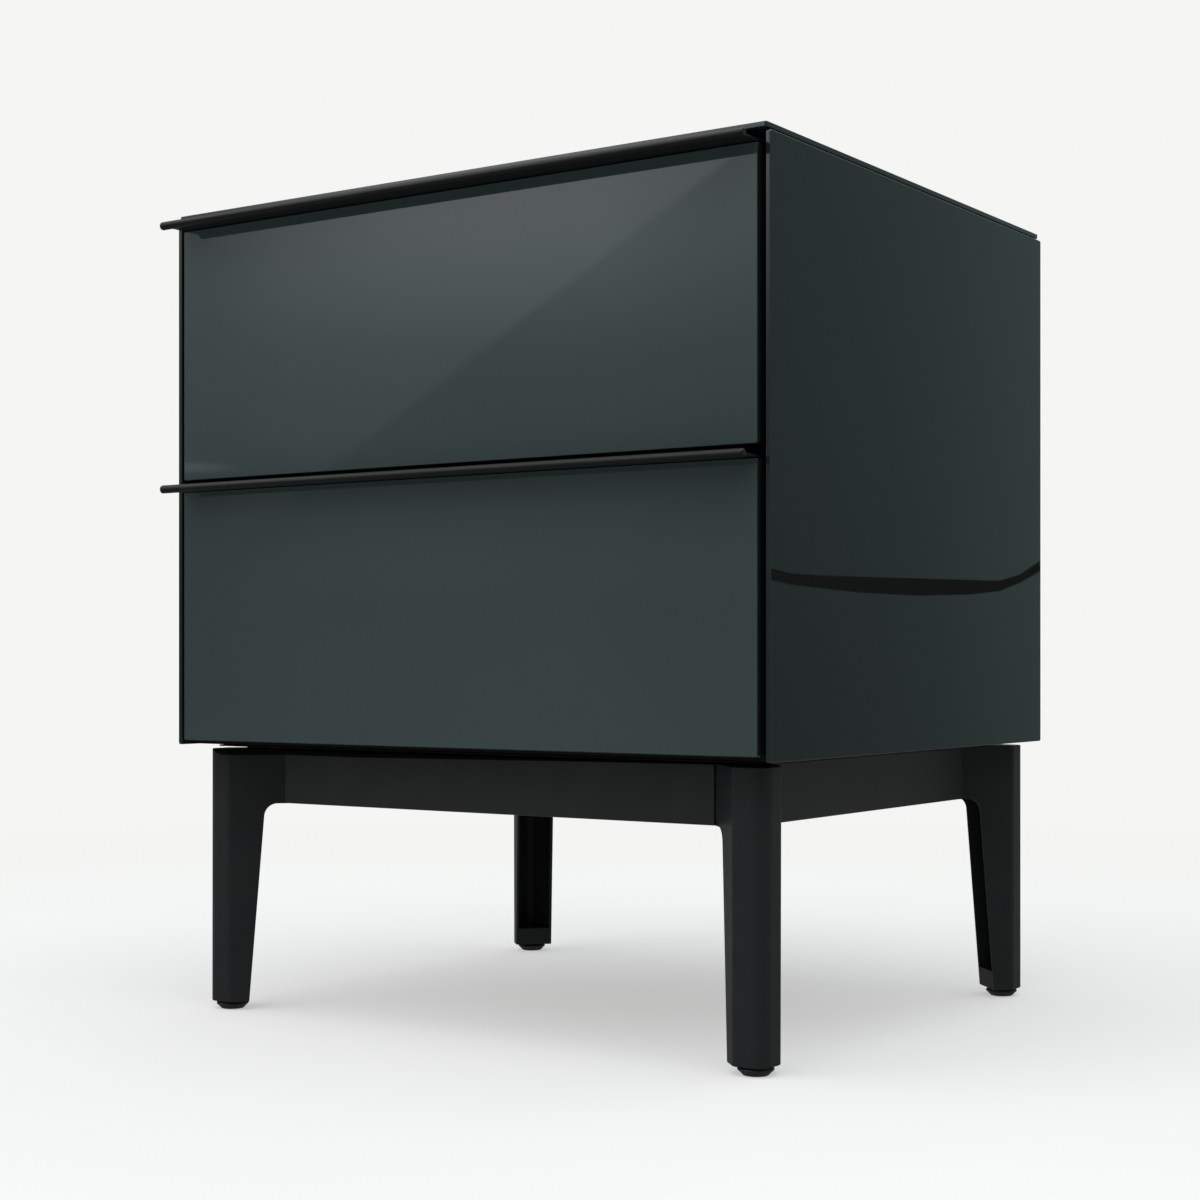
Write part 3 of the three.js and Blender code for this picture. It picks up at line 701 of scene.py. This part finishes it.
def make_world():
    world = bpy.data.worlds.new("studio")
    bpy.context.scene.world = world
    world.use_nodes = True
    tree = world.node_tree
    tree.nodes.clear()

    def node(kind, **values):
        n = tree.nodes.new(kind)
        for key, value in values.items():
            setattr(n, key, value)
        return n

    def math_node(operation, a, b=None, clamp=False):
        n = node("ShaderNodeMath", operation=operation, use_clamp=clamp)
        for socket, value in zip(n.inputs, (a, b)):
            if value is None:
                continue
            if isinstance(value, (int, float)):
                socket.default_value = value
            else:
                tree.links.new(value, socket)
        return n.outputs[0]

    def ramp(value, stops):
        n = node("ShaderNodeValToRGB")
        fill_ramp(n, stops)
        tree.links.new(value, n.inputs["Fac"])
        return n.outputs["Color"]

    def smooth(value, start, end):
        n = node("ShaderNodeMapRange", interpolation_type="SMOOTHSTEP")
        n.inputs["From Min"].default_value = start
        n.inputs["From Max"].default_value = end
        tree.links.new(value, n.inputs["Value"])
        return n.outputs["Result"]

    direction = node("ShaderNodeTexCoord").outputs["Generated"]
    axes = node("ShaderNodeSeparateXYZ")
    tree.links.new(direction, axes.inputs[0])
    x, y, z = axes.outputs
    # turn round the horizon: 0 and 1 behind the cabinet, 0.5 in front, 0.75 at its right
    turn = math_node("ARCTAN2", x, math_node("MULTIPLY", y, -1.0))
    turn = math_node("ADD", math_node("DIVIDE", turn, 2 * math.pi), 0.5)
    walls = ramp(
        turn,
        [
            (0.0, 0.5),
            (0.08, 0.34),
            (0.125, 0.12),
            (0.18, 0.09),
            (0.3, 0.3),
            (0.35, 0.05),
            (0.44, 0.05),
            (0.47, 0.4),
            (0.53, 0.34),
            (0.59, 0.1),
            (0.68, 0.1),
            (0.76, 0.4),
            (0.88, 0.35),
            (0.9165, 0.185),
            (0.928, 0.2),
            (0.9375, 0.27),
            (1.0, 0.5),
        ],
    )
    ceiling = smooth(z, 0.25, 0.85)
    level = math_node("ADD", walls, math_node("MULTIPLY", ceiling, 0.55))
    front = math_node("LESS_THAN", y, 0.0)
    # a large soft light in front on the left, brighter towards its top
    flat = math_node("DIVIDE", x, math_node("MULTIPLY", y, -1.0))
    across = ramp(
        math_node("ADD", flat, 1.2),
        [(0.12, 0.0), (0.2, 0.17), (0.28, 0.64), (0.36, 0.93), (0.44, 1.0), (0.52, 0.92), (0.6, 0.6),
         (0.8, 0.2), (0.95, 0.0)],
    )
    upward = ramp(
        math_node("MULTIPLY", z, 2.5),
        [(0.06, 0.12), (0.11, 0.2), (0.16, 0.22), (0.21, 0.14), (0.3, 0.14), (0.3625, 0.24), (0.4, 0.42),
         (0.4375, 0.62), (0.475, 0.83), (0.5375, 1.11), (0.6, 1.45), (0.8, 1.05), (1.0, 0.5)],
    )
    beam = math_node("MULTIPLY", math_node("MULTIPLY", across, upward), front)
    level = math_node("ADD", level, math_node("MULTIPLY", beam, 1.24))
    # its slanting lower edge
    plane = node("ShaderNodeVectorMath", operation="DOT_PRODUCT")
    plane.inputs[1].default_value = (-0.41737, 0.46213, 0.78246)
    tree.links.new(direction, plane.inputs[0])
    step = math_node("MULTIPLY", smooth(plane.outputs["Value"], 0.0, 0.0025), front)
    height = math_node("MULTIPLY", math_node("SUBTRACT", z, 0.029), 2.236, clamp=True)
    step = math_node("MULTIPLY", step, height)
    level = math_node("ADD", level, step)
    # a short bright strip at the left
    strip = math_node("SUBTRACT", 1.0, smooth(z, 0.0896, 0.0906))
    strip = math_node("MULTIPLY", smooth(z, 0.0856, 0.0866), strip)
    strip = math_node("MULTIPLY", strip, smooth(flat, -0.955, -1.01))
    level = math_node("ADD", level, math_node("MULTIPLY", math_node("MULTIPLY", strip, front), 0.55))
    # behind the right side: brighter upwards, with a dark cable hanging low
    behind = math_node("MULTIPLY", smooth(turn, 0.87, 0.915), smooth(turn, 0.985, 0.94))
    lift = math_node("ADD", math_node("MULTIPLY", z, 1.2), -0.15)
    level = math_node("MULTIPLY", level, math_node("ADD", math_node("MULTIPLY", lift, behind), 1.0))
    along = math_node("DIVIDE", math_node("SUBTRACT", turn, 0.9165), 0.0225)
    above = ramp(along, [(0.04, 0.0424), (0.11, 0.0397), (0.21, 0.0387), (0.34, 0.0379), (0.6, 0.0365),
                         (0.8, 0.0357), (0.865, 0.0384), (0.916, 0.0434), (0.95, 0.0464)])
    below = ramp(along, [(0.04, 0.0367), (0.11, 0.0343), (0.21, 0.0326), (0.34, 0.0304), (0.54, 0.0287),
                         (0.703, 0.0292), (0.8, 0.0308), (0.865, 0.0344), (0.916, 0.0386), (0.95, 0.0414)])
    under = smooth(math_node("SUBTRACT", above, z), -0.0003, 0.0003)
    over = smooth(math_node("SUBTRACT", z, below), -0.0003, 0.0003)
    ends = math_node("MULTIPLY", smooth(turn, 0.905, 0.915), smooth(turn, 0.955, 0.942))
    cable = math_node("MULTIPLY", math_node("MULTIPLY", under, over), ends)
    level = math_node("MULTIPLY", level, math_node("SUBTRACT", 1.0, cable))

    tinted = node("ShaderNodeCombineColor")
    red = math_node("SUBTRACT", 0.96, math_node("MULTIPLY", behind, 0.2))
    tree.links.new(math_node("MULTIPLY", level, red), tinted.inputs[0])
    tree.links.new(level, tinted.inputs[1])
    tree.links.new(level, tinted.inputs[2])
    lit = node("ShaderNodeBackground")
    tree.links.new(tinted.outputs[0], lit.inputs["Color"])
    seen = node("ShaderNodeBackground")
    seen.inputs["Color"].default_value = (*BACKGROUND, 1)
    path = node("ShaderNodeLightPath")
    mix = node("ShaderNodeMixShader")
    tree.links.new(path.outputs["Is Camera Ray"], mix.inputs[0])
    tree.links.new(lit.outputs[0], mix.inputs[1])
    tree.links.new(seen.outputs[0], mix.inputs[2])
    output = node("ShaderNodeOutputWorld")
    tree.links.new(mix.outputs[0], output.inputs["Surface"])


make_world()


def softbox(name, place, target, size, power, glossy=True):
    data = bpy.data.lights.new(name, "AREA")
    data.shape = "RECTANGLE"
    data.size, data.size_y = size
    data.energy = power
    light = bpy.data.objects.new(name, data)
    light.location = place
    light.rotation_euler = (Vector(target) - Vector(place)).to_track_quat("-Z", "Y").to_euler()
    light.visible_glossy = glossy
    light.visible_camera = False
    bpy.context.scene.collection.objects.link(light)
    return light


softbox("overhead_light", (0.2, -0.35, 2.4), (0, 0, 0.3), (1.8, 1.8), 28)
softbox("left_fill", (-1.3, -2.2, 1.1), (0, 0, 0.35), (1.4, 1.4), 5, glossy=False)

scene = bpy.context.scene
scene.view_settings.view_transform = "Standard"

camera_data = bpy.data.cameras.new("camera")
camera_data.sensor_width = 36
camera_data.lens = 63.26
camera_data.shift_y = 0.0476
camera = bpy.data.objects.new("camera", camera_data)
camera.location = (0.89785, -1.3271, 0.264)
camera.rotation_euler = (math.radians(90), 0, math.radians(34.32))
scene.collection.objects.link(camera)
scene.camera = camera

low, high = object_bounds()
